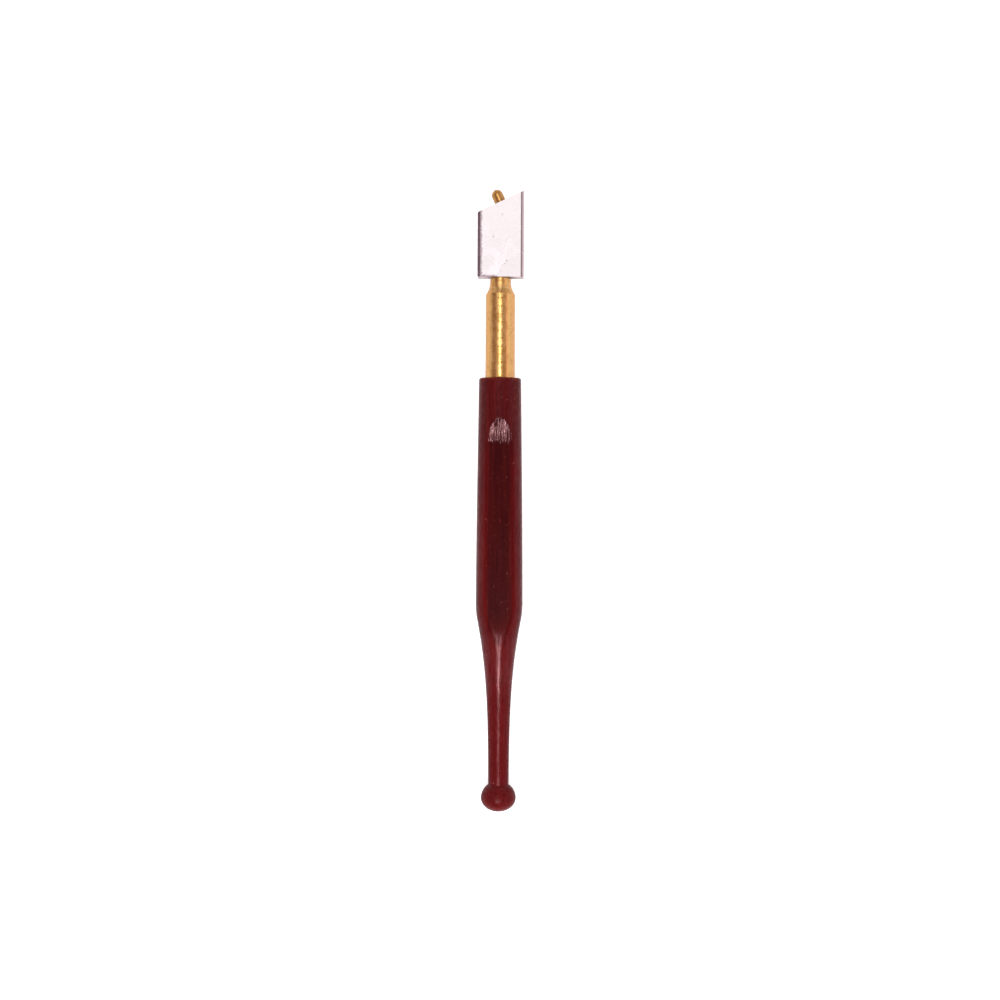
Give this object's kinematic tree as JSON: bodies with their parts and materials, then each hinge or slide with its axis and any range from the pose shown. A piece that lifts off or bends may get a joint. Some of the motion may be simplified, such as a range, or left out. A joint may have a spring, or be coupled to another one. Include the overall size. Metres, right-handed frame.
{
  "type": "glass cutter",
  "caption": "Diamond glass cutter: slender turned wooden handle with finger flats and a ball end, brass ferrule, and a swivelling rectangular guide head with a slanted diamond tip.",
  "frame": {"origin": "centre of the bounding box, which lies on the axis that the head turns about, half way along the tool", "axes": "+Y along the tool towards the head; +Z out of the front face with the engraved ticks, square to the finger flats; +X towards the long side of the slanted head"},
  "size_m": [0.0132, 0.175, 0.0122],
  "materials": {
    "lacquered_wood": "dark red-brown lacquer, glossy",
    "turned_brass": "polished",
    "tip_brass": "worn, satin",
    "washer_bronze": "satin",
    "nickel_plate": "nickel plated, softly polished, small pits",
    "steel": "ground",
    "black_steel": "black oxide",
    "silver_braze": "satin",
    "diamond": "natural crystal"
  },
  "bodies": {
    "grip": {"handle": "lacquered_wood", "ferrule": "turned_brass", "stop_pin": "steel", "thrust_washer": "washer_bronze"},
    "head": {"head_block": "nickel_plate", "swivel_spindle": "steel", "spindle_pin": "steel", "tip_holder": "tip_brass", "tip_set_screw": "black_steel", "diamond_braze": "silver_braze", "diamond": "diamond"}
  },
  "joints": [
    {"name": "head_swivel", "type": "hinge", "parent": "grip", "child": "head", "pos_m": [0, 0.0623, 0], "axis": [0, 1, 0], "range_deg": [-20, 20]}
  ]
}
